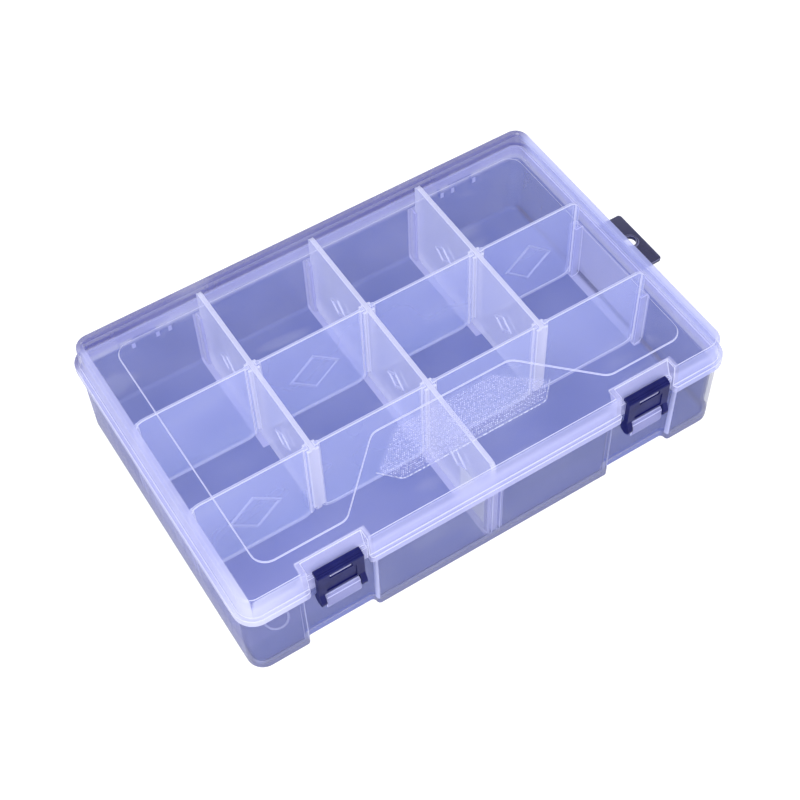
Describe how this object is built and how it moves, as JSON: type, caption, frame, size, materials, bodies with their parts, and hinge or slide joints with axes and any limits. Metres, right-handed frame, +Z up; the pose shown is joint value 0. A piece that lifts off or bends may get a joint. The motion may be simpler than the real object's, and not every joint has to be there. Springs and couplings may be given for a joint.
{
  "type": "compartment storage box",
  "caption": "Clear flat storage box with fitted dividers, a hinged lid held by swinging front latches, and a hang tab at one end.",
  "frame": {"origin": "middle of the tray's flat underside, which is the middle of the tray's own outline", "axes": "+X along the box's length towards the hang tab, -Y towards the latches, +Y towards the hinges, +Z up"},
  "size_m": [0.2168, 0.1407, 0.0479],
  "materials": {
    "clear_body": "clear moulded polypropylene, slightly milky",
    "divider": "clear moulded polypropylene, a little cloudier",
    "latch": "opaque navy moulded plastic, satin gloss",
    "pin": "drawn wire"
  },
  "bodies": {
    "tray": {"tray": "clear_body", "hinge_pin_left": "pin", "hinge_pin_right": "pin", "column_left": "divider", "column_middle": "divider", "column_right": "divider", "row_panel_a1": "divider", "row_panel_a2": "divider", "row_panel_a3": "divider", "row_panel_a4": "divider", "row_panel_b1": "divider", "row_panel_b2": "divider", "row_panel_b3": "divider", "row_panel_b4": "divider"},
    "lid": {"lid": "clear_body"},
    "latch_left": {"latch_left": "latch"},
    "latch_right": {"latch_right": "latch"}
  },
  "joints": [
    {"name": "lid_hinge", "type": "hinge", "parent": "tray", "child": "lid", "pos_m": [0, 0.0692, 0.031], "axis": [-1, 0, 0], "range_deg": [0, 180]},
    {"name": "latch_left_hinge", "type": "hinge", "parent": "tray", "child": "latch_left", "pos_m": [-0.065, -0.06675, 0.027], "axis": [1, 0, 0], "range_deg": [0, 140]},
    {"name": "latch_right_hinge", "type": "hinge", "parent": "tray", "child": "latch_right", "pos_m": [0.065, -0.06675, 0.027], "axis": [1, 0, 0], "range_deg": [0, 140]}
  ]
}
